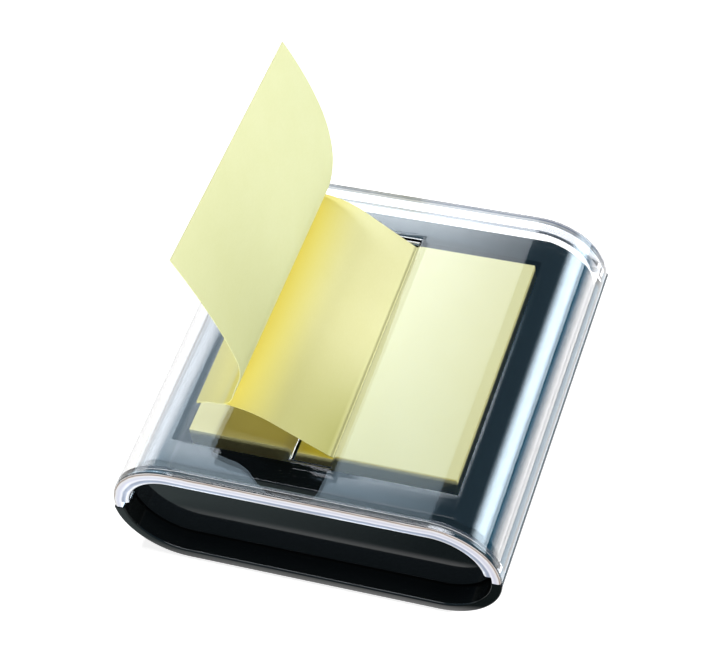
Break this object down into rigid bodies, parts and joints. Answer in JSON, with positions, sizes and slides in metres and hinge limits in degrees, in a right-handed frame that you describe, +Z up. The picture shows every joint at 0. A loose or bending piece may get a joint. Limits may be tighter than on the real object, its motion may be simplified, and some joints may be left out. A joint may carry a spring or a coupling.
{
  "type": "sticky note dispenser",
  "caption": "Pop-up sticky note dispenser: weighted black base, clear slotted cover over a black well with a pad, and two yellow notes drawn out of the slot.",
  "frame": {"origin": "on the table surface under the middle of the body", "axes": "+Z up; X across the body's two half-round sides; Y along the slot and the body's straight run, -Y towards the near open end"},
  "size_m": [0.1116, 0.111, 0.1185],
  "materials": {
    "black_gloss": "polished black moulding",
    "black_satin": "semi-gloss black moulding",
    "clear_plastic": "water-clear polished moulding",
    "zinc_steel": "zinc plated",
    "foot_rubber": "matte",
    "yellow_paper": "uncoated pastel yellow paper"
  },
  "bodies": {
    "base": {"base_shell": "black_gloss", "note_well": "black_satin", "ballast_plate": "zinc_steel", "core_screw_1": "zinc_steel", "core_screw_2": "zinc_steel", "core_screw_3": "zinc_steel", "core_screw_4": "zinc_steel", "foot_1": "foot_rubber", "foot_2": "foot_rubber", "foot_3": "foot_rubber", "foot_4": "foot_rubber", "note_pad": "yellow_paper"},
    "cover": {"clear_cover": "clear_plastic", "second_note": "yellow_paper"},
    "pulled_note": {"first_note": "yellow_paper"}
  },
  "joints": [
    {"name": "cover_lift", "type": "slide", "parent": "base", "child": "cover", "axis": [0, 0, 1], "range_m": [0, 0.06]},
    {"name": "first_note_pull", "type": "slide", "parent": "cover", "child": "pulled_note", "axis": [0, 0, 1], "range_m": [0, 0.05]}
  ]
}
